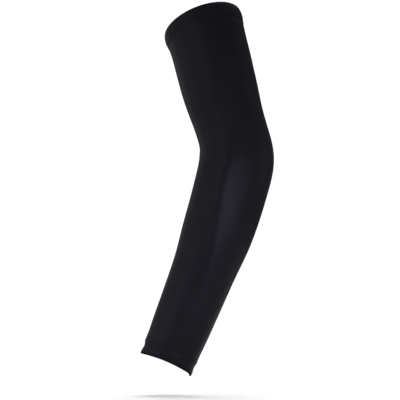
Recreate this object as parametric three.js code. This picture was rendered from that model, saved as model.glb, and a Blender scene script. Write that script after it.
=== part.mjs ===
// Sun protection arm sleeve, in the shape that it takes on a slightly bent arm.
// It is one seamless knitted tube, with a folded hem closed over each of its ends.
// Millimetres, +Z up. The origin is the middle of the upper opening.
// +X is the point of the elbow, -X the crook of the elbow, and -Y the outer side of the arm.
//
// A place on the sleeve is given by three values:
//   along   millimetres down the middle of the arm, from 0 at the upper rim
//   offset  millimetres out of the tube's outer face, so the knit lies at negative offsets
//   angle   degrees round the arm: 0 elbow, 90 outer side, 180 crook, 270 inner side
import * as THREE from 'three';

// Driving dimensions
const SLEEVE_LENGTH = 403; // from rim to rim, along the middle of the arm
const KNIT = 1; // thickness of the knit, in the tube and in each leaf of a hem
const GAP = 0.3; // between the tube and the leaves of a hem
const LAP = 7; // length of the tube's end that lies between the leaves of a hem
const UPPER_HEM = 14; // height of the upper hem
const WRIST_HEM = 16; // height of the wrist hem
const FOLD_RADIUS = 1.25; // of the turned edge at a rim
const LEAF_BULGE = 0.2; // how far a leaf swells between its stitched edge and its fold
const LEAF_ROUND = 0.35; // rounding of a leaf's stitched edge
const RIM_TILT = 8.6; // the upper rim is this much higher on the outer side, lower on the inner
const RIM_TILT_ANGLE = 80; // the angle round the arm at which the upper rim is highest
const RIM_TILT_REACH = 85; // length of knit that evens the tilt out
const WRIST_ARCH = 3; // the wrist rim is this much higher on the flat of the wrist
const WRIST_TIP = 2.2; // the wrist rim comes to a small point, this much lower, below the elbow
const WRIST_TIP_SPREAD = 16; // degrees round the arm that the point takes to fade
const WRIST_ARCH_REACH = 24; // length of knit that evens the arch and the point out

// Facets
const SIDES = 48; // round the sleeve
const TUBE_STEPS = 30; // along the tube, between the hems
const LAP_STEPS = 2; // along the tube's ends inside the hems
const FOLD_STEPS = 6; // round the turned edge of a hem

// Sections square to the middle of the arm. lean is the slope of the arm's middle towards the
// elbow's side, in degrees from straight down. width is measured across the bend of the elbow,
// depth from the outer side to the inner, both to the tube's outer face.
const SECTIONS = [
  { along: -12, lean: 16.9, width: 91.0, depth: 89 },
  { along: 0, lean: 16.7, width: 90.5, depth: 89 },
  { along: 14, lean: 15.7, width: 90.0, depth: 88.6 },
  { along: 28, lean: 14.7, width: 88.4, depth: 87.6 },
  { along: 50, lean: 13.2, width: 87.8, depth: 86 },
  { along: 85, lean: 15.0, width: 85.5, depth: 82 },
  { along: 115, lean: 16.2, width: 80.8, depth: 78.5 },
  { along: 138, lean: 13.0, width: 79.7, depth: 77 },
  { along: 158, lean: 0.9, width: 82.1, depth: 77.5 },
  { along: 178, lean: -11.4, width: 82.6, depth: 77 },
  { along: 210, lean: -16.2, width: 81.8, depth: 76 },
  { along: 250, lean: -19.0, width: 79.0, depth: 71.5 },
  { along: 290, lean: -21.1, width: 71.5, depth: 63.5 },
  { along: 330, lean: -21.8, width: 67.4, depth: 55 },
  { along: 370, lean: -22.2, width: 63.6, depth: 48.5 },
  { along: 388, lean: -23.4, width: 60.4, depth: 46 },
  { along: 396, lean: -23.0, width: 57.4, depth: 45 },
  { along: 403, lean: -22.6, width: 59.4, depth: 45 },
  { along: 416, lean: -22.6, width: 59.4, depth: 45 },
];

// The long ridge that runs under the knit at the edge of the forearm's muscle, from the elbow to
// mid-forearm. Its crest lies at an angle round the arm. crookSide and elbowSide are the degrees
// that it takes to fall away on either side, and crest the degrees over which its top is rounded.
const RIDGE = [
  { along: 140, angle: 95, height: 0, crookSide: 45, elbowSide: 35, crest: 9 },
  { along: 190, angle: 102, height: 2.5, crookSide: 42, elbowSide: 32, crest: 4 },
  { along: 235, angle: 96, height: 1.5, crookSide: 28, elbowSide: 28, crest: 2.5 },
  { along: 285, angle: 82, height: 1.5, crookSide: 20, elbowSide: 38, crest: 2.5 },
  { along: 330, angle: 75, height: 0, crookSide: 20, elbowSide: 25, crest: 2 },
];
const CROOK_FALL = 2; // power of the hollow curve in which the ridge falls to the crook's side
const ELBOW_FALL = 2.5; // and to the elbow's side

// Bumps: the belly of the forearm's muscle, the point of the elbow, and then the puckers that the
// stitching of the wrist hem draws up. length is along the arm and spread, in degrees, round it.
const BUMPS = [
  { along: 180, angle: 125, length: 55, spread: 40, height: 4 },
  { along: 160, angle: 0, length: 22, spread: 24, height: 1.3 },
  { along: 386, angle: 178, length: 5, spread: 14, height: 0.6 },
  { along: 393, angle: 178, length: 3.5, spread: 16, height: -0.9 },
  { along: 387, angle: 8, length: 4, spread: 13, height: 0.8 },
  { along: 398, angle: 14, length: 4, spread: 14, height: 0.5 },
];

// Smooth columns of a table, read at any place along the arm.
function smoothColumns(rows, names) {
  const values = rows.flatMap((row) => names.map((name) => row[name]));
  const curve = new THREE.CubicInterpolant(rows.map((row) => row.along), values, names.length);
  return (along) => Array.from(curve.evaluate(along));
}

const sectionAt = smoothColumns(SECTIONS, ['lean', 'width', 'depth']);
const ridgeAt = smoothColumns(RIDGE, ['angle', 'height', 'crookSide', 'elbowSide', 'crest']);

// The middle of the arm, walked in short steps down the lean of the sections.
const WALK_STEP = 0.5;
function walkMiddle() {
  const first = SECTIONS[0].along;
  const last = SECTIONS[SECTIONS.length - 1].along;
  const places = [];
  const points = [];
  const point = new THREE.Vector2();
  for (let along = first; along <= last; along += WALK_STEP) {
    places.push(along);
    points.push(point.x, point.y);
    const [lean] = sectionAt(along + WALK_STEP / 2);
    const radians = THREE.MathUtils.degToRad(lean);
    point.x += WALK_STEP * Math.sin(radians);
    point.y -= WALK_STEP * Math.cos(radians);
  }
  return new THREE.LinearInterpolant(places, points, 2);
}

const middle = walkMiddle();
const [originX, originZ] = Array.from(middle.evaluate(0));

// The angle between two places round the arm, from -180 to 180 degrees.
function turnBetween(angle, from) {
  return THREE.MathUtils.euclideanModulo(angle - from + 180, 360) - 180;
}

// How far the knit is drawn up the arm at a place, so that the rims are tilted and arched.
function drawnUp(along, angle) {
  const upperShare = 1 - THREE.MathUtils.smoothstep(along, 0, RIM_TILT_REACH);
  const wristShare = 1 - THREE.MathUtils.smoothstep(SLEEVE_LENGTH - along, 0, WRIST_ARCH_REACH);
  const tilt = RIM_TILT * Math.cos(THREE.MathUtils.degToRad(angle - RIM_TILT_ANGLE));
  const arch = WRIST_ARCH * Math.sin(THREE.MathUtils.degToRad(angle)) ** 2;
  const tip = WRIST_TIP * Math.exp(-((turnBetween(angle, 0) / WRIST_TIP_SPREAD) ** 2));
  return upperShare * tilt + wristShare * (arch - tip);
}

// How far the ridge and the bumps raise the knit at a place.
function raised(along, angle) {
  const [crestAngle, crestHeight, crookSide, elbowSide, crest] = ridgeAt(along);
  const past = angle - crestAngle;
  const away = Math.hypot(past, crest) - crest;
  const [reach, fall] = past > 0 ? [crookSide, CROOK_FALL] : [elbowSide, ELBOW_FALL];
  let height = crestHeight * Math.max(0, 1 - away / reach) ** fall;
  for (const bump of BUMPS) {
    const down = (along - bump.along) / bump.length;
    const round = turnBetween(angle, bump.angle);
    height += bump.height * Math.exp(-(down ** 2) - (round / bump.spread) ** 2);
  }
  return height;
}

// The point at a place on the sleeve. Offsets run square to the section's outline.
function pointAt(along, offset, angle) {
  const radians = THREE.MathUtils.degToRad(angle);
  const station = along - drawnUp(along, angle);
  const [lean, width, depth] = sectionAt(station);
  const [middleX, middleZ] = Array.from(middle.evaluate(station));
  const halfWidth = width / 2;
  const halfDepth = depth / 2;
  const outwards = new THREE.Vector2(halfDepth * Math.cos(radians), halfWidth * Math.sin(radians));
  outwards.setLength(offset + raised(along, angle));
  const across = halfWidth * Math.cos(radians) + outwards.x;
  const near = halfDepth * Math.sin(radians) + outwards.y;
  const slope = THREE.MathUtils.degToRad(lean);
  return new THREE.Vector3(
    middleX - originX + across * Math.cos(slope),
    -near,
    middleZ - originZ + across * Math.sin(slope),
  );
}

// A closed band: a closed outline of [along, offset] corners carried once round the arm.
// The outline runs down the arm on its outer face and back up on its inner face.
function bandGeometry(outline) {
  const positions = [];
  for (const [along, offset] of outline) {
    for (let side = 0; side < SIDES; side += 1) {
      const angle = (360 * side) / SIDES;
      positions.push(...pointAt(along, offset, angle).toArray());
    }
  }
  const indices = [];
  for (let corner = 0; corner < outline.length; corner += 1) {
    const row = corner * SIDES;
    const nextRow = ((corner + 1) % outline.length) * SIDES;
    for (let side = 0; side < SIDES; side += 1) {
      const nextSide = (side + 1) % SIDES;
      indices.push(row + side, nextRow + nextSide, nextRow + side);
      indices.push(row + side, row + nextSide, nextRow + nextSide);
    }
  }
  const geometry = new THREE.BufferGeometry();
  geometry.setAttribute('position', new THREE.Float32BufferAttribute(positions, 3));
  geometry.setIndex(indices);
  geometry.computeVertexNormals();
  return geometry;
}

// Even places from one value up to, and without, another.
function placesBetween(from, to, steps) {
  return Array.from({ length: steps }, (_, step) => THREE.MathUtils.lerp(from, to, step / steps));
}

// The tube: one thickness of knit from inside the upper hem to inside the wrist hem.
function tubeOutline() {
  const upperLine = UPPER_HEM;
  const wristLine = SLEEVE_LENGTH - WRIST_HEM;
  const places = [
    ...placesBetween(upperLine - LAP, upperLine, LAP_STEPS),
    ...placesBetween(upperLine, wristLine, TUBE_STEPS),
    ...placesBetween(wristLine, wristLine + LAP, LAP_STEPS),
    wristLine + LAP,
  ];
  const outer = places.map((along) => [along, 0]);
  const inner = places.map((along) => [along, -KNIT]).reverse();
  return [...outer, ...inner];
}

// A hem: a doubled band whose leaves part to take in the tube's end. Its corners are set out as
// [fromRim, offset]: the outer leaf from its stitched edge to the fold, the fold, the inner leaf
// back to its stitched edge, and then the slot between the leaves.
function hemOutline(height) {
  const outerFace = GAP + KNIT;
  const innerFace = -KNIT - GAP - KNIT;
  const foldMiddle = (outerFace + innerFace) / 2;
  const slotEnd = height - LAP - GAP;
  const lapMiddle = height - LAP / 2;
  const outerLeaf = [
    [height, GAP],
    [height, outerFace - LEAF_ROUND],
    [height - LEAF_ROUND, outerFace],
    [lapMiddle, outerFace + LEAF_BULGE / 2],
    [slotEnd, outerFace + LEAF_BULGE],
    [slotEnd / 2, outerFace],
  ];
  const fold = Array.from({ length: FOLD_STEPS + 1 }, (_, step) => {
    const turn = (Math.PI * step) / FOLD_STEPS;
    return [
      FOLD_RADIUS - FOLD_RADIUS * Math.sin(turn),
      foldMiddle + FOLD_RADIUS * Math.cos(turn),
    ];
  });
  const innerLeaf = [
    [slotEnd / 2, innerFace],
    [lapMiddle, innerFace],
    [height - LEAF_ROUND, innerFace],
    [height, innerFace + LEAF_ROUND],
    [height, -KNIT - GAP],
  ];
  const slot = [
    [lapMiddle, -KNIT - GAP],
    [slotEnd, -KNIT - GAP],
    [slotEnd, GAP],
    [lapMiddle, GAP],
  ];
  return [...outerLeaf, ...fold, ...innerLeaf, ...slot];
}

const upperOutline = hemOutline(UPPER_HEM).reverse();
const wristOutline = hemOutline(WRIST_HEM).map(([fromRim, offset]) => [
  SLEEVE_LENGTH - fromRim,
  offset,
]);

// Black knit of nylon with elastane, with a soft sheen and no gloss. The doubled hems are deeper.
function knitMaterial(name, color) {
  return new THREE.MeshStandardMaterial({ name, color, roughness: 0.85, metalness: 0 });
}

const TUBE_BLACK = 0x1b1c21;
const HEM_BLACK = 0x18181d;
const bands = [
  { name: 'sleeve_body', outline: tubeOutline(), color: TUBE_BLACK },
  { name: 'upper_hem', outline: upperOutline, color: HEM_BLACK },
  { name: 'wrist_hem', outline: wristOutline, color: HEM_BLACK },
];

const sleeve = new THREE.Group();
for (const { name, outline, color } of bands) {
  const mesh = new THREE.Mesh(bandGeometry(outline), knitMaterial(`${name}_knit`, color));
  mesh.name = name;
  sleeve.add(mesh);
}

export default sleeve;
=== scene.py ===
"""A black sun protection arm sleeve, in the shape that it takes on a slightly bent arm.

Metres, +Z up. The origin is the middle of the upper opening, +X is the point of the elbow and -Y the
outer side of the arm. The net of each piece is first set out flat, one vertex for each place:
    x  angle round the arm in radians: 0 elbow, a quarter turn outer side, a half turn crook
    y  offset out of the tube's outer face, so the knit lies at negative offsets
    z  distance along the middle of the arm, from 0 at the upper rim
and then it is drawn over the arm by a Geometry Nodes tree.
"""
import math

import bpy
import numpy as np
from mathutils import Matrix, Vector


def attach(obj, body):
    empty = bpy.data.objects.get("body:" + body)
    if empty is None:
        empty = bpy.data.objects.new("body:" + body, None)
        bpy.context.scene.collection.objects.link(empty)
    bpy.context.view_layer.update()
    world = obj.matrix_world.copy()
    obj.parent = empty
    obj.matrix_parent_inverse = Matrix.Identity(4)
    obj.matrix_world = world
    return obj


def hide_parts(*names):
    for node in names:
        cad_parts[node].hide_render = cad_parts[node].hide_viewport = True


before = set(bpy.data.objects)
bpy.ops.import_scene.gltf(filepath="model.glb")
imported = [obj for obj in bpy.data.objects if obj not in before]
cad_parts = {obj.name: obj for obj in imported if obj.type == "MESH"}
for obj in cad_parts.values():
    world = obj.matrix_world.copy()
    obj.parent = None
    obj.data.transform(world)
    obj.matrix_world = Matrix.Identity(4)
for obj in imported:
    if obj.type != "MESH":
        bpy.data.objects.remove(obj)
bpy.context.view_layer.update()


# Knitted tube
# One seamless tube of fine black weft knit, nylon with elastane, worked on a circular machine.
# It has no shape of its own: its stretch holds it to the arm, whose sections are given here.

SLEEVE_LENGTH = 0.403
KNIT = 0.001
LAP = 0.007
UPPER_HEM = 0.014
WRIST_HEM = 0.016
TUBE_ROWS = 170
SIDES = 288
INNER_ROWS = 60
WALES = 360
COURSE = 0.00055
MIDDLE_STEP = 0.001

# Sections square to the middle of the arm. lean is the slope of the arm's middle towards the elbow's
# side, in degrees from straight down. width is measured across the bend, depth from outer side to inner.
ARM_SECTIONS = np.array([
    # along   lean    width   depth
    (-0.012, 16.9, 0.0910, 0.0890),
    (0.000, 16.7, 0.0905, 0.0890),
    (0.014, 15.7, 0.0900, 0.0886),
    (0.028, 14.7, 0.0884, 0.0876),
    (0.050, 13.2, 0.0878, 0.0860),
    (0.085, 15.0, 0.0855, 0.0820),
    (0.115, 16.2, 0.0808, 0.0785),
    (0.138, 13.0, 0.0797, 0.0770),
    (0.158, 0.9, 0.0821, 0.0775),
    (0.178, -11.4, 0.0826, 0.0770),
    (0.210, -16.2, 0.0818, 0.0760),
    (0.250, -19.0, 0.0790, 0.0715),
    (0.290, -21.1, 0.0715, 0.0635),
    (0.330, -21.8, 0.0674, 0.0550),
    (0.370, -22.2, 0.0636, 0.0485),
    (0.388, -23.4, 0.0604, 0.0460),
    (0.396, -23.0, 0.0574, 0.0450),
    (0.403, -22.6, 0.0594, 0.0450),
    (0.416, -22.6, 0.0594, 0.0450),
])

# The upper rim is tilted, and the wrist rim is arched and comes to a small point below the elbow.
RIM_TILT = 0.0086
RIM_TILT_ANGLE = math.radians(80)
RIM_TILT_REACH = 0.085
WRIST_ARCH = 0.003
WRIST_TIP = 0.0022
WRIST_TIP_SPREAD = 16
WRIST_ARCH_REACH = 0.024

# The long ridge at the edge of the forearm's muscle. Its crest lies at an angle round the arm. The two
# sides are the degrees that it takes to fall away, and crest those over which its top is rounded.
RIDGE = np.array([
    # along  angle  height  crook side  elbow side  crest
    (0.140, 95, 0, 45, 35, 9),
    (0.190, 102, 0.0025, 42, 32, 4),
    (0.235, 96, 0.0015, 28, 28, 2.5),
    (0.285, 82, 0.0015, 20, 38, 2.5),
    (0.330, 75, 0, 20, 25, 2),
])
CROOK_FALL = 2.0
ELBOW_FALL = 2.5

# The belly of the forearm's muscle, the point of the elbow, and then the puckers that the stitching
# of the wrist hem draws up. spread is in degrees round the arm.
BUMPS = [
    # along  angle  length  spread  height
    (0.180, 125, 0.055, 40, 0.004),
    (0.160, 0, 0.022, 24, 0.0013),
    (0.386, 178, 0.005, 14, 0.0006),
    (0.393, 178, 0.0035, 16, -0.0009),
    (0.387, 8, 0.004, 13, 0.0008),
    (0.398, 14, 0.004, 14, 0.0005),
]


def smooth_columns(table, along):
    """The columns of a table after its first, read at places along the arm by a smooth cubic."""
    places = table[:, 0]
    values = table[:, 1:]
    spans = np.diff(places)
    grades = np.diff(values, axis=0) / spans[:, None]
    slopes = np.vstack([grades[:1], (grades[1:] + grades[:-1]) / 2, grades[-1:]])
    row = np.clip(np.searchsorted(places, along, side="right") - 1, 0, len(spans) - 1)
    span = spans[row][..., None]
    part = np.clip((along - places[row])[..., None] / span, 0, 1)
    rise = part * part * (3 - 2 * part)
    lead = part * (1 - part) ** 2
    tail = part * part * (part - 1)
    level = (1 - rise) * values[row] + rise * values[row + 1]
    return level + span * (lead * slopes[row] + tail * slopes[row + 1])


def eased(value, reach):
    """1 at 0, falling smoothly to 0 at reach."""
    part = np.clip(value / reach, 0, 1)
    return 1 - part * part * (3 - 2 * part)


def turn_between(angle, start):
    """Degrees from a place round the arm, given in degrees, to an angle in radians: -180 to 180."""
    return (np.degrees(angle) - start + 180) % 360 - 180


def drawn_up(along, angle):
    """How far the knit is drawn up the arm at a place, so that the rims are tilted and arched."""
    tilt = RIM_TILT * np.cos(angle - RIM_TILT_ANGLE)
    arch = WRIST_ARCH * np.sin(angle) ** 2
    tip = WRIST_TIP * np.exp(-(turn_between(angle, 0) / WRIST_TIP_SPREAD) ** 2)
    wrist_share = eased(SLEEVE_LENGTH - along, WRIST_ARCH_REACH)
    return eased(along, RIM_TILT_REACH) * tilt + wrist_share * (arch - tip)


def raised(along, angle):
    """How far the forearm's muscle, the elbow's point and the hem's puckers lift the knit."""
    ridge = np.moveaxis(smooth_columns(RIDGE, along), -1, 0)
    crest_angle, height, crook_side, elbow_side, crest = ridge
    past = np.degrees(angle) - crest_angle
    away = np.sqrt(past ** 2 + crest ** 2) - crest
    reach = np.where(past > 0, crook_side, elbow_side)
    fall = np.where(past > 0, CROOK_FALL, ELBOW_FALL)
    lift = height * np.clip(1 - away / reach, 0, 1) ** fall
    for bump_along, bump_angle, length, spread, height in BUMPS:
        down = (along - bump_along) / length
        turn = turn_between(angle, bump_angle)
        lift = lift + height * np.exp(-down ** 2 - (turn / spread) ** 2)
    return lift


def once_round(sides):
    """The angles of places that are spaced evenly once round, in radians."""
    return np.arange(sides) * math.tau / sides


def net_places(along, angle, offset):
    """Places on a flat net: the angle, the offset once raised, and the distance once drawn up."""
    return np.stack([angle, offset + raised(along, angle), along - drawn_up(along, angle)], axis=-1)


def add_object(name, data):
    """Puts a mesh, a lamp or a camera into the scene as an object."""
    added = bpy.data.objects.new(name, data)
    bpy.context.scene.collection.objects.link(added)
    return added


def add_node(tree, kind, inputs=None, **settings):
    """Adds a node to a tree. An input is given by its name or place, as a value or as a socket."""
    node = tree.nodes.new(kind)
    for name, value in settings.items():
        setattr(node, name, value)
    for key, value in (inputs or {}).items():
        if isinstance(value, bpy.types.NodeSocket):
            tree.links.new(value, node.inputs[key])
        else:
            node.inputs[key].default_value = value
    return node


def maths(tree, operation, *terms):
    """The output of a Math node on one, two or three values or sockets."""
    return add_node(tree, "ShaderNodeMath", dict(enumerate(terms)), operation=operation).outputs[0]


def vector_maths(tree, operation, first, second):
    """The vector output of a Vector Math node. SCALE takes a value or float socket as second."""
    place = "Scale" if operation == "SCALE" else 1
    node = add_node(tree, "ShaderNodeVectorMath", {0: first, place: second}, operation=operation)
    return node.outputs[0]


def make_arm_middle():
    """The middle of the arm as a chain of points, each with the half sizes of its section."""
    half_step = MIDDLE_STEP / 2
    along = np.arange(ARM_SECTIONS[0, 0], ARM_SECTIONS[-1, 0] + half_step, MIDDLE_STEP)
    lean = np.radians(smooth_columns(ARM_SECTIONS, along[:-1] + half_step)[:, 0])
    moves = MIDDLE_STEP * np.stack([np.sin(lean), 0 * lean, -np.cos(lean)], axis=1)
    points = np.vstack([np.zeros(3), np.cumsum(moves, axis=0)])
    points -= points[np.argmin(np.abs(along))]
    mesh = bpy.data.meshes.new("arm_middle")
    mesh.from_pydata(points.tolist(), [(i, i + 1) for i in range(len(points) - 1)], [])
    sizes = smooth_columns(ARM_SECTIONS, along)
    for name, column in (("half_width", 1), ("half_depth", 2)):
        attribute = mesh.attributes.new(name, "FLOAT", "POINT")
        attribute.data.foreach_set("value", (sizes[:, column] / 2).astype(np.float32))
    return add_object("arm_middle", mesh)


def start_tree(name, inputs):
    """A new Geometry Nodes tree with inputs of given names and kinds, and their sockets in it."""
    tree = bpy.data.node_groups.new(name, "GeometryNodeTree")
    for label, kind in inputs.items():
        tree.interface.new_socket(label, in_out="INPUT", socket_type="NodeSocket" + kind)
    tree.interface.new_socket("Made", in_out="OUTPUT", socket_type="NodeSocketGeometry")
    return tree, tree.nodes.new("NodeGroupInput").outputs


def end_tree(tree, geometry, finish):
    """Makes a tree's geometry whole and smooth, dresses it in a finish and gives it out."""
    whole = add_node(tree, "GeometryNodeRealizeInstances", {"Geometry": geometry})
    smooth = add_node(tree, "GeometryNodeSetShadeSmooth", {"Geometry": whole.outputs[0]})
    dressed = add_node(
        tree, "GeometryNodeSetMaterial", {"Geometry": smooth.outputs[0], "Material": finish}
    )
    add_node(tree, "NodeGroupOutput", {"Made": dressed.outputs[0]})


def make_drawing_over_tree():
    """The tree that draws a flat net over the arm, and keeps each place's outward direction."""
    tree, given = start_tree("draw_over_arm", {
        "Net": "Geometry",
        "Arm middle": "Object",
        "Middle starts at": "Float",
        "Finish": "Material",
    })
    middle = add_node(tree, "GeometryNodeObjectInfo", {"Object": given["Arm middle"]})
    chain = add_node(tree, "GeometryNodeMeshToCurve", {"Mesh": middle.outputs["Geometry"]})
    place = add_node(tree, "GeometryNodeInputPosition").outputs[0]
    flat = add_node(tree, "ShaderNodeSeparateXYZ", {0: place}).outputs
    length = maths(tree, "SUBTRACT", flat["Z"], given["Middle starts at"])

    def section(name):
        size = add_node(tree, "GeometryNodeInputNamedAttribute", {"Name": name}, data_type="FLOAT")
        return add_node(
            tree,
            "GeometryNodeSampleCurve",
            {"Curves": chain.outputs[0], "Value": size.outputs["Attribute"], "Length": length},
            mode="LENGTH",
            data_type="FLOAT",
        ).outputs

    width = section("half_width")
    depth = section("half_depth")
    across = vector_maths(tree, "CROSS_PRODUCT", width["Tangent"], (0, 1, 0))
    cosine = maths(tree, "COSINE", flat["X"])
    sine = maths(tree, "SINE", flat["X"])

    def blend(across_share, near_share):
        sideways = vector_maths(tree, "SCALE", across, across_share)
        towards_outer = maths(tree, "MULTIPLY", near_share, -1.0)
        nearer = add_node(tree, "ShaderNodeCombineXYZ", {"Y": towards_outer})
        return vector_maths(tree, "ADD", sideways, nearer.outputs[0])

    on_tube = blend(
        maths(tree, "MULTIPLY", width["Value"], cosine),
        maths(tree, "MULTIPLY", depth["Value"], sine),
    )
    square = blend(
        maths(tree, "MULTIPLY", depth["Value"], cosine),
        maths(tree, "MULTIPLY", width["Value"], sine),
    )
    outward = add_node(tree, "ShaderNodeVectorMath", {0: square}, operation="NORMALIZE").outputs[0]
    lifted = vector_maths(tree, "SCALE", outward, flat["Y"])
    target = vector_maths(tree, "ADD", width["Position"], vector_maths(tree, "ADD", on_tube, lifted))
    kept = add_node(
        tree,
        "GeometryNodeStoreNamedAttribute",
        {"Geometry": given["Net"], "Name": "outward", "Value": outward},
        data_type="FLOAT_VECTOR",
        domain="POINT",
    )
    moved = add_node(
        tree, "GeometryNodeSetPosition", {"Geometry": kept.outputs[0], "Position": target}
    )
    end_tree(tree, moved.outputs[0], given["Finish"])
    return tree


def add_tree(piece, tree, values):
    """Puts a tree on a piece as a modifier and sets the tree's inputs by their names."""
    modifier = piece.modifiers.new(tree.name, "NODES")
    modifier.node_group = tree
    for item in tree.interface.items_tree:
        if item.in_out == "INPUT" and item.name in values:
            modifier[item.identifier] = values[item.name]


def make_plain(piece):
    """Turns what a piece's modifiers make of it into its own plain mesh."""
    view = bpy.context.evaluated_depsgraph_get()
    flat = piece.data
    piece.data = bpy.data.meshes.new_from_object(piece.evaluated_get(view))
    piece.data.name = piece.name
    piece.modifiers.clear()
    bpy.data.meshes.remove(flat)


arm_middle = make_arm_middle()
draw_over_arm = make_drawing_over_tree()


def draw_over(net, finish):
    """Draws a flat net over the arm, in a finish."""
    add_tree(net, draw_over_arm, {
        "Arm middle": arm_middle,
        "Middle starts at": float(ARM_SECTIONS[0, 0]),
        "Finish": finish,
    })


def make_band(name, outline, finish, creased=0):
    """A closed band of knit: an outline of (along, offset) corners carried once round the arm.

    The outline runs down the arm on its outer face and back up on its inner face. The map named
    knit counts the wales round the arm and the courses along the outline. An attribute marks
    the hem's fold at each corner, where shade is painted into the knit's colour and the loops are made
    rougher."""
    outline = np.asarray(outline)
    rows = len(outline)
    angle = np.broadcast_to(once_round(SIDES), (rows, SIDES))
    along = np.broadcast_to(outline[:, :1], (rows, SIDES))
    places = net_places(along, angle, outline[:, 1:]).reshape(-1, 3)
    row, side = np.meshgrid(np.arange(rows), np.arange(SIDES), indexing="ij")
    next_row = (row + 1) % rows
    next_side = (side + 1) % SIDES
    corners = [(row, side), (row, next_side), (next_row, next_side), (next_row, side)]
    faces = np.stack([r * SIDES + s for r, s in corners], axis=-1).reshape(-1, 4)
    mesh = bpy.data.meshes.new(name)
    mesh.from_pydata(places.tolist(), [], faces.tolist())
    lengths = np.hypot(*np.diff(np.vstack([outline, outline[:1]]), axis=0).T)
    courses = np.concatenate([[0], np.cumsum(lengths)]) / COURSE
    wales = np.arange(SIDES + 1) * WALES / SIDES
    knit = np.stack([
        np.stack([wales[side], wales[side + 1], wales[side + 1], wales[side]], axis=-1),
        np.stack([courses[row], courses[row], courses[row + 1], courses[row + 1]], axis=-1),
    ], axis=-1)
    mesh.uv_layers.new(name="knit").uv.foreach_set("vector", knit.astype(np.float32).ravel())
    fold_shade_values = np.repeat(np.broadcast_to(creased, rows), SIDES).astype(np.float32)
    mesh.attributes.new("creased", "FLOAT", "POINT").data.foreach_set("value", fold_shade_values)
    band = add_object(name, mesh)
    draw_over(band, finish)
    make_plain(band)
    return band


def start_finish(name):
    """A new material, with its tree and the shader in it."""
    finish = bpy.data.materials.new(name)
    finish.use_nodes = True
    tree = finish.node_tree
    return finish, tree, tree.nodes["Principled BSDF"]


DEEP_AT = 0.3
LIGHT_AT = 0.7


def add_tone_ramp(tree, tone, deep, light):
    """A Color Ramp from a deep to a light colour, read at a tone."""
    ramp = add_node(tree, "ShaderNodeValToRGB", {0: tone})
    for element, place, colour in zip(ramp.color_ramp.elements, (DEEP_AT, LIGHT_AT), (deep, light)):
        element.position = place
        element.color = (*colour, 1)
    return ramp.outputs[0]


LOOP_RELIEF = 0.00003
LOOP_SHARE = 0.3
# How much darker the knit is painted between the wales and in the loops' valleys: painted shade.
LOOP_VALLEY_SHADE = 0.2
FLECK_TONE = 0.4
CLOUD_TONE = 0.6
LOWEST_TONE = -0.13
KNIT_ROUGHNESS = 0.41
FLECK_ROUGHNESS = 0.06
CREASE_ROUGHNESS = 0.55
# How far the colour is darkened towards black at the hem's fold: painted shade.
FOLD_PAINTED_SHADE = 0.95


def make_knit_finish(name, deep, light):
    """Fine black knit: loops in wales and courses, shade painted between the wales, a slow change of
    tone and a soft sheen.

    At the hem's fold the colour is darkened towards black as painted shade, and the loops there are
    rougher, so they lose their sheen."""
    finish, tree, shader = start_finish(name)
    knit = add_node(tree, "ShaderNodeUVMap", uv_map="knit").outputs[0]
    count = add_node(tree, "ShaderNodeSeparateXYZ", {0: knit}).outputs
    from_wale = maths(tree, "SUBTRACT", maths(tree, "FRACT", count["X"]), 0.5)
    aside = maths(tree, "ABSOLUTE", from_wale)
    rib = maths(tree, "COSINE", maths(tree, "MULTIPLY", from_wale, math.pi))
    slant = maths(tree, "ADD", count["Y"], aside)
    loop = maths(tree, "SINE", maths(tree, "MULTIPLY", slant, math.tau))
    height = maths(tree, "MULTIPLY_ADD", loop, LOOP_SHARE, rib)
    bump = add_node(
        tree, "ShaderNodeBump", {"Strength": 0.5, "Distance": LOOP_RELIEF, "Height": height}
    )
    tree.links.new(bump.outputs[0], shader.inputs["Normal"])
    spot = add_node(tree, "ShaderNodeTexCoord").outputs["Object"]
    cloud = add_node(
        tree, "ShaderNodeTexNoise", {"Vector": spot, "Scale": 26.0, "Detail": 3.0, "Roughness": 0.55}
    )
    fleck = add_node(
        tree, "ShaderNodeTexNoise", {"Vector": knit, "Scale": 0.7, "Detail": 2.0, "Roughness": 0.6}
    )
    # The tone falls between the wales and in the loops' valleys: painted shade in the knit's hollows.
    tone = maths(tree, "MULTIPLY_ADD", height, LOOP_VALLEY_SHADE, LOWEST_TONE)
    tone = maths(tree, "MULTIPLY_ADD", fleck.outputs[0], FLECK_TONE, tone)
    tone = maths(tree, "MULTIPLY_ADD", cloud.outputs[0], CLOUD_TONE, tone)
    colour = add_tone_ramp(tree, tone, deep, light)
    # The hem's fold is painted darker, towards black, as shade. Its loops are also made rougher there.
    creased = add_node(tree, "ShaderNodeAttribute", attribute_name="creased").outputs["Fac"]
    shaded_at_fold = add_node(
        tree,
        "ShaderNodeMix",
        {"Factor": maths(tree, "MULTIPLY", creased, FOLD_PAINTED_SHADE), 6: colour, 7: (0, 0, 0, 1)},
        data_type="RGBA",
    )
    tree.links.new(shaded_at_fold.outputs[2], shader.inputs["Base Color"])
    roughness = maths(tree, "MULTIPLY_ADD", fleck.outputs[0], FLECK_ROUGHNESS, KNIT_ROUGHNESS)
    roughness = maths(tree, "MULTIPLY_ADD", creased, CREASE_ROUGHNESS, roughness)
    tree.links.new(roughness, shader.inputs["Roughness"])
    shader.inputs["Specular IOR Level"].default_value = 0.07
    shader.inputs["Specular Tint"].default_value = (0.82, 0.80, 1.0, 1)
    return finish


def tube_outline():
    """The tube's wall, from inside the upper hem to inside the wrist hem."""
    ends = (UPPER_HEM - LAP, SLEEVE_LENGTH - WRIST_HEM + LAP)
    outer = [(along, 0) for along in np.linspace(*ends, TUBE_ROWS)]
    inner = [(along, -KNIT) for along in np.linspace(*ends[::-1], INNER_ROWS)]
    return outer + inner


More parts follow.
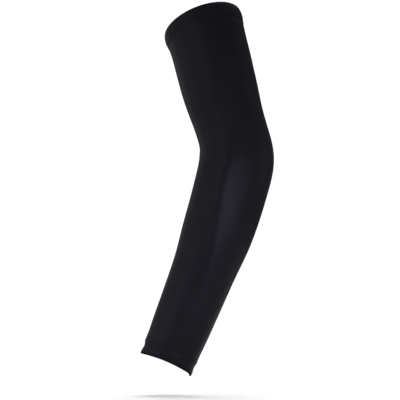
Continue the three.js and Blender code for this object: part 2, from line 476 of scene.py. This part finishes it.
TUBE_DEEP = (0.0047, 0.0047, 0.0069)
TUBE_LIGHT = (0.0067, 0.0067, 0.0096)
tube_finish = make_knit_finish("tube_black", TUBE_DEEP, TUBE_LIGHT)
tube = make_band("knitted_tube", tube_outline(), tube_finish)
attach(tube, "root")
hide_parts("sleeve_body")


# Hems
# At each rim the knit is turned back on itself and closed over the tube's end as a doubled band.
# The fold is pressed soft and round, and the cut edges of the two leaves are stitched down.

GAP = 0.0003
OUTER_FACE = GAP + KNIT
INNER_FACE = -KNIT - GAP - KNIT
FOLD_RADIUS = 0.00125
LEAF_BULGE = 0.0002
LEAF_EDGE = 0.0005
PRESS_REACH = 0.0085
NEEDLE_ROWS = (0.0022, 0.0052)
NEEDLE_DIP = 0.00005
NEEDLE_DIP_REACH = 0.0007
LEAF_ROWS = 30
FOLD_STEPS = 12
CREASE_REACH = 0.0022


def slot_end(height):
    """How far from the rim the slot ends that takes in the tube's end."""
    return height - LAP - GAP


def leaf_length(height):
    """How far a leaf of a hem runs, from its cut edge to where it starts to turn into the fold."""
    return height - slot_end(height) / 2


def leaf_face(from_edge, height):
    """Offset of a hem's outer face, given how far it is from the cut edge that is stitched down."""
    swell = LEAF_BULGE * np.sin(np.pi * from_edge / leaf_length(height))
    pressed = (OUTER_FACE - LEAF_EDGE) * eased(from_edge, PRESS_REACH)
    dips = sum(np.exp(-((from_edge - row) / NEEDLE_DIP_REACH) ** 2) for row in NEEDLE_ROWS)
    return OUTER_FACE + swell - pressed - NEEDLE_DIP * dips


def hem_outline(height):
    """A hem's (from rim, offset) corners: outer leaf, fold, inner leaf, and the slot for the tube.

    With it comes a mask of the fold, where shade is painted into the knit's colour and the loops are
    made rougher."""
    fold_middle = (OUTER_FACE + INNER_FACE) / 2
    from_edge = np.linspace(0, leaf_length(height), LEAF_ROWS)
    outer_leaf = [(height, LEAF_EDGE / 4)]
    outer_leaf += list(zip(height - from_edge, leaf_face(from_edge, height)))
    turn = np.linspace(0, np.pi, FOLD_STEPS + 1)
    fold = list(zip(
        FOLD_RADIUS - FOLD_RADIUS * np.sin(turn), fold_middle + FOLD_RADIUS * np.cos(turn)
    ))
    inner_leaf = [(height - place, INNER_FACE) for place in from_edge[::-1]]
    inner_leaf += [(height, -KNIT - GAP)]
    slot = [(slot_end(height), -KNIT - GAP), (slot_end(height), GAP), (height - LAP / 2, GAP)]
    outline = np.array(outer_leaf + fold + inner_leaf + slot)
    return outline, eased(outline[:, 0], CREASE_REACH)


HEM_DEEP = (0.0046, 0.0046, 0.0068)
HEM_LIGHT = (0.0066, 0.0066, 0.0095)
hem_finish = make_knit_finish("hem_black", HEM_DEEP, HEM_LIGHT)
for name, height, down_arm in (("upper_hem", UPPER_HEM, True), ("wrist_hem", WRIST_HEM, False)):
    outline, creased = hem_outline(height)
    if down_arm:
        outline, creased = outline[::-1], creased[::-1]
    else:
        outline = outline * (-1, 1) + (SLEEVE_LENGTH, 0)
    band = make_band(name + "_band", outline, hem_finish, creased)
    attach(band, "root")
    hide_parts(name)


# Hem stitching
# Two rows of black polyester thread, sewn with a twin needle, hold each hem's cut edge to the tube.
# Inside the sleeve the looper's thread runs to and fro between the two rows.

THREAD = 0.00034
STITCH_LENGTH = 0.0029
STITCH_PITCH = 0.0034
LOOPER_LENGTH = 0.0036
LOOPER_PITCH = 0.0017
LOOPER_SLANT = math.radians(58)
STITCH_STEPS = 6
STRAND_SIDES = 6
SUNK_SHARE = -0.9
CROWN_SHARE = 1.6
UNEVENNESS = 0.05


def make_sewing_tree():
    """The tree that sets stitches of thread side by side along the lines of a seam."""
    tree, given = start_tree("sew_along", {
        "Seam": "Geometry",
        "Stitches": "Int",
        "Stitch length": "Float",
        "Thread": "Float",
        "Slant": "Float",
        "Outside": "Float",
        "Seed": "Int",
        "Finish": "Material",
    })
    seam = add_node(tree, "GeometryNodeMeshToCurve", {"Mesh": given["Seam"]})
    places = add_node(
        tree,
        "GeometryNodeCurveToPoints",
        {"Curve": seam.outputs[0], "Count": given["Stitches"]},
        mode="COUNT",
    ).outputs

    half = maths(tree, "MULTIPLY", given["Stitch length"], 0.5)
    half_back = maths(tree, "MULTIPLY", half, -1.0)
    sunk = maths(tree, "MULTIPLY", given["Thread"], SUNK_SHARE)
    high = maths(tree, "MULTIPLY", given["Thread"], CROWN_SHARE)
    start = add_node(tree, "ShaderNodeCombineXYZ", {"X": half_back, "Z": sunk})
    crown = add_node(tree, "ShaderNodeCombineXYZ", {"Z": high})
    end = add_node(tree, "ShaderNodeCombineXYZ", {"X": half, "Z": sunk})
    arc = add_node(
        tree,
        "GeometryNodeCurveQuadraticBezier",
        {
            "Resolution": STITCH_STEPS,
            "Start": start.outputs[0],
            "Middle": crown.outputs[0],
            "End": end.outputs[0],
        },
    )
    strand = add_node(
        tree,
        "GeometryNodeCurvePrimitiveCircle",
        {"Resolution": STRAND_SIDES, "Radius": maths(tree, "MULTIPLY", given["Thread"], 0.5)},
        mode="RADIUS",
    )
    stitch = add_node(
        tree,
        "GeometryNodeCurveToMesh",
        {"Curve": arc.outputs[0], "Profile Curve": strand.outputs[0], "Fill Caps": True},
    )

    outward = add_node(
        tree, "GeometryNodeInputNamedAttribute", {"Name": "outward"}, data_type="FLOAT_VECTOR"
    )
    away = vector_maths(tree, "SCALE", outward.outputs["Attribute"], given["Outside"])
    along_seam = add_node(
        tree,
        "FunctionNodeAlignRotationToVector",
        {"Vector": places["Tangent"]},
        axis="X",
        pivot_axis="AUTO",
    )
    facing_out = add_node(
        tree,
        "FunctionNodeAlignRotationToVector",
        {"Rotation": along_seam.outputs[0], "Vector": away},
        axis="Z",
        pivot_axis="X",
    )
    number = add_node(tree, "GeometryNodeInputIndex").outputs[0]
    to_and_fro = maths(tree, "MULTIPLY_ADD", maths(tree, "MODULO", number, 2.0), 2.0, -1.0)
    unevenness = add_node(
        tree,
        "FunctionNodeRandomValue",
        {"Min": -UNEVENNESS, "Max": UNEVENNESS, "ID": number, "Seed": given["Seed"]},
        data_type="FLOAT",
    )
    angle = maths(tree, "MULTIPLY_ADD", to_and_fro, given["Slant"], unevenness.outputs[1])
    turned = add_node(tree, "FunctionNodeAxisAngleToRotation", {"Axis": (0, 0, 1), "Angle": angle})
    placed = add_node(
        tree,
        "FunctionNodeRotateRotation",
        {"Rotation": facing_out.outputs[0], "Rotate By": turned.outputs[0]},
        rotation_space="LOCAL",
    )
    row = add_node(
        tree,
        "GeometryNodeInstanceOnPoints",
        {"Points": places["Points"], "Instance": stitch.outputs[0], "Rotation": placed.outputs[0]},
    )
    end_tree(tree, row.outputs[0], given["Finish"])
    return tree


THREAD_DEEP = (0.0040, 0.0040, 0.0052)
THREAD_LIGHT = (0.0080, 0.0080, 0.0102)
THREAD_RELIEF = 0.00005


def make_thread_finish():
    """Spun black polyester: twisted fibres that catch a little more light than the knit."""
    finish, tree, shader = start_finish("sewing_thread")
    spot = add_node(tree, "ShaderNodeTexCoord").outputs["Object"]
    fibres = add_node(
        tree, "ShaderNodeTexNoise", {"Vector": spot, "Scale": 3500.0, "Detail": 2.0, "Roughness": 0.5}
    )
    bump = add_node(
        tree,
        "ShaderNodeBump",
        {"Strength": 0.4, "Distance": THREAD_RELIEF, "Height": fibres.outputs[0]},
    )
    tree.links.new(bump.outputs[0], shader.inputs["Normal"])
    colour = add_tone_ramp(tree, fibres.outputs[0], THREAD_DEEP, THREAD_LIGHT)
    tree.links.new(colour, shader.inputs["Base Color"])
    shader.inputs["Roughness"].default_value = 0.45
    shader.inputs["Specular IOR Level"].default_value = 0.1
    return finish


sew_along = make_sewing_tree()
thread_finish = make_thread_finish()


def sew_hem(name, lines, stitch_length, pitch, slant, outside, seed):
    """Sews a hem along lines of (along, offset), each of which runs once round the arm.

    outside is 1 for thread on the sleeve's outer face and -1 for thread on its inner face."""
    places = []
    edges = []
    for along, offset in lines:
        first = len(places)
        places += net_places(np.full(SIDES, along), once_round(SIDES), offset).tolist()
        edges += [(first + side, first + (side + 1) % SIDES) for side in range(SIDES)]
    mesh = bpy.data.meshes.new(name)
    mesh.from_pydata(places, edges, [])
    seam = add_object(name, mesh)
    width, depth = smooth_columns(ARM_SECTIONS, np.array(lines[0][0]))[1:]
    girth = math.pi * (width + depth) / 2
    draw_over(seam, thread_finish)
    add_tree(seam, sew_along, {
        "Stitches": 2 * round(girth / pitch / 2),
        "Stitch length": stitch_length,
        "Thread": THREAD,
        "Slant": slant,
        "Outside": outside,
        "Seed": seed,
        "Finish": thread_finish,
    })
    make_plain(seam)
    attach(seam, "root")


for name, height, seed in (("upper_hem", UPPER_HEM, 3), ("wrist_hem", WRIST_HEM, 8)):
    rows = np.array(NEEDLE_ROWS)
    from_rim = height - np.append(rows, rows.mean())
    along = from_rim if name == "upper_hem" else SLEEVE_LENGTH - from_rim
    outer = list(zip(along[:-1], leaf_face(rows, height)))
    inner = [(along[-1], INNER_FACE)]
    sew_hem(
        name + "_needle_rows", outer, STITCH_LENGTH, STITCH_PITCH, slant=0.0, outside=1.0, seed=seed
    )
    sew_hem(
        name + "_looper_row",
        inner,
        LOOPER_LENGTH,
        LOOPER_PITCH,
        slant=LOOPER_SLANT,
        outside=-1.0,
        seed=seed + 1,
    )


# Floor, light and camera
# A plain pale round floor in a white studio, just below the sleeve. Soft lights stand to its left and
# right, one above and behind throws the shadow, and two small near ones light the forearm's ridge.
# The camera is a little below the middle of the sleeve.

FLOOR_LEVEL = -0.41835
FLOOR_RADIUS = 0.6
FLOOR_SIDES = 96
FLOOR_GREY = (0.8, 0.8, 0.8, 1)
FLOOR_GLOW = 0.17
FADE_GLOW = 0.48
FADE_START = 0.2
FADE_END = 0.55
turns = once_round(FLOOR_SIDES)
rim = np.stack([
    FLOOR_RADIUS * np.cos(turns),
    FLOOR_RADIUS * np.sin(turns),
    np.full(FLOOR_SIDES, FLOOR_LEVEL),
], axis=1)
floor_mesh = bpy.data.meshes.new("floor")
floor_mesh.from_pydata(rim.tolist(), [], [list(range(FLOOR_SIDES))])
floor = add_object("floor", floor_mesh)
floor_finish, floor_tree, floor_shader = start_finish("floor_white")
floor_shader.inputs["Base Color"].default_value = FLOOR_GREY
floor_shader.inputs["Roughness"].default_value = 0.9
floor_shader.inputs["Specular IOR Level"].default_value = 0.0
floor_shader.inputs["Emission Color"].default_value = (1, 1, 1, 1)

# Towards its rim the floor fades into the white backdrop. It does so in the picture alone, and throws
# no more light on the sleeve from there than from close by.
spot = add_node(floor_tree, "ShaderNodeTexCoord").outputs["Object"]
level_spot = vector_maths(floor_tree, "MULTIPLY", spot, (1, 1, 0))
from_middle = add_node(floor_tree, "ShaderNodeVectorMath", {0: level_spot}, operation="LENGTH")
in_picture = add_node(floor_tree, "ShaderNodeLightPath").outputs["Is Camera Ray"]
glow = add_node(
    floor_tree,
    "ShaderNodeMapRange",
    {
        "Value": from_middle.outputs["Value"],
        "From Min": FADE_START,
        "From Max": FADE_END,
        "To Min": FLOOR_GLOW,
        "To Max": maths(floor_tree, "MULTIPLY_ADD", in_picture, FADE_GLOW, FLOOR_GLOW),
    },
)
floor_tree.links.new(glow.outputs[0], floor_shader.inputs["Emission Strength"])
floor_mesh.materials.append(floor_finish)

# The studio is dim, and dimmer behind the sleeve on its right. The backdrop in the picture is white.
DIM_SIDE = (0.5, 0.87, 0.0)
DIM_START = 0.2
DIM_END = 0.9
STUDIO_LIGHT = 0.29
DIM_LIGHT = 0.07
BACKDROP_LIGHT = 1.05
world = bpy.data.worlds.new("white_studio")
world.use_nodes = True
studio = world.node_tree
surround = studio.nodes["Background"]
surround.inputs["Color"].default_value = (1, 1, 1, 1)
way = add_node(studio, "ShaderNodeTexCoord").outputs["Generated"]
behind = add_node(studio, "ShaderNodeVectorMath", {0: way, 1: DIM_SIDE}, operation="DOT_PRODUCT")
dimming = add_node(
    studio,
    "ShaderNodeMapRange",
    {
        "Value": behind.outputs["Value"],
        "From Min": DIM_START,
        "From Max": DIM_END,
        "To Min": STUDIO_LIGHT,
        "To Max": DIM_LIGHT,
    },
)
studio.links.new(dimming.outputs[0], surround.inputs["Strength"])
backdrop = add_node(
    studio, "ShaderNodeBackground", {"Color": (1, 1, 1, 1), "Strength": BACKDROP_LIGHT}
)
in_picture = add_node(studio, "ShaderNodeLightPath").outputs["Is Camera Ray"]
both = add_node(
    studio, "ShaderNodeMixShader", {0: in_picture, 1: surround.outputs[0], 2: backdrop.outputs[0]}
)
studio.links.new(both.outputs[0], studio.nodes["World Output"].inputs["Surface"])
bpy.context.scene.world = world


def look_along(way):
    """The rotation that turns a lamp or camera, which looks along its own -Z, to a direction."""
    return Vector(way).to_track_quat("-Z", "Y").to_euler()


def add_soft_light(name, aim, azimuth, height, distance, size, power):
    """A square soft light that faces a point, seen from there at an azimuth and height in degrees."""
    turn = math.radians(azimuth)
    rise = math.radians(height)
    level = math.cos(rise)
    way = np.array((math.sin(turn) * level, -math.cos(turn) * level, math.sin(rise)))
    light = bpy.data.lights.new(name, "AREA")
    light.size = size
    light.energy = power
    lamp = add_object(name, light)
    lamp.location = np.array(aim) + distance * way
    lamp.rotation_euler = look_along(-way)
    lamp.visible_camera = False


SLEEVE_MIDDLE = (0.0, 0.0, -0.2)
FOREARM_RIDGE = (0.025, -0.045, -0.24)
SOFT_LIGHTS = [
    # name  aim  azimuth  height  distance  size  power
    ("left_front_light", SLEEVE_MIDDLE, -40, 20, 1.4, 0.7, 4),
    ("left_quarter_light", SLEEVE_MIDDLE, -65, 10, 1.4, 0.7, 0.8),
    ("left_side_light", SLEEVE_MIDDLE, -90, 8, 1.4, 0.7, 2.5),
    ("left_back_light", SLEEVE_MIDDLE, -130, 8, 1.4, 0.7, 0.8),
    ("right_side_light", SLEEVE_MIDDLE, 90, 8, 1.4, 0.8, 2),
    ("right_back_light", SLEEVE_MIDDLE, 135, 8, 1.4, 0.8, 0.25),
    ("back_top_light", SLEEVE_MIDDLE, 160, 72, 1.4, 1.1, 19),
    ("near_front_light", FOREARM_RIDGE, 25, 0, 0.38, 0.12, 0.8),
    ("near_left_light", FOREARM_RIDGE, -60, -15, 0.38, 0.1, 0.2),
]
for soft_light in SOFT_LIGHTS:
    add_soft_light(*soft_light)

CAMERA_PLACE = (-0.002874, -1.08859, -0.36131)
CAMERA_AIM = (-0.002874, 0.0, -0.20331)
SENSOR_WIDTH_MM = 36.0
LENS_MM = 88.39
camera_data = bpy.data.cameras.new("camera")
camera_data.sensor_width = SENSOR_WIDTH_MM
camera_data.lens = LENS_MM
camera = add_object("camera", camera_data)
camera.location = CAMERA_PLACE
camera.rotation_euler = look_along(np.array(CAMERA_AIM) - np.array(CAMERA_PLACE))
bpy.context.scene.camera = camera
bpy.context.scene.view_settings.view_transform = "Standard"


# Cloth
# The tube and its hems are one sheet of knit, here stretched on the arm. Opened out flat it tapers.
# The arm's middle, which only guided the drawing, is taken away.

bpy.data.objects.remove(arm_middle)
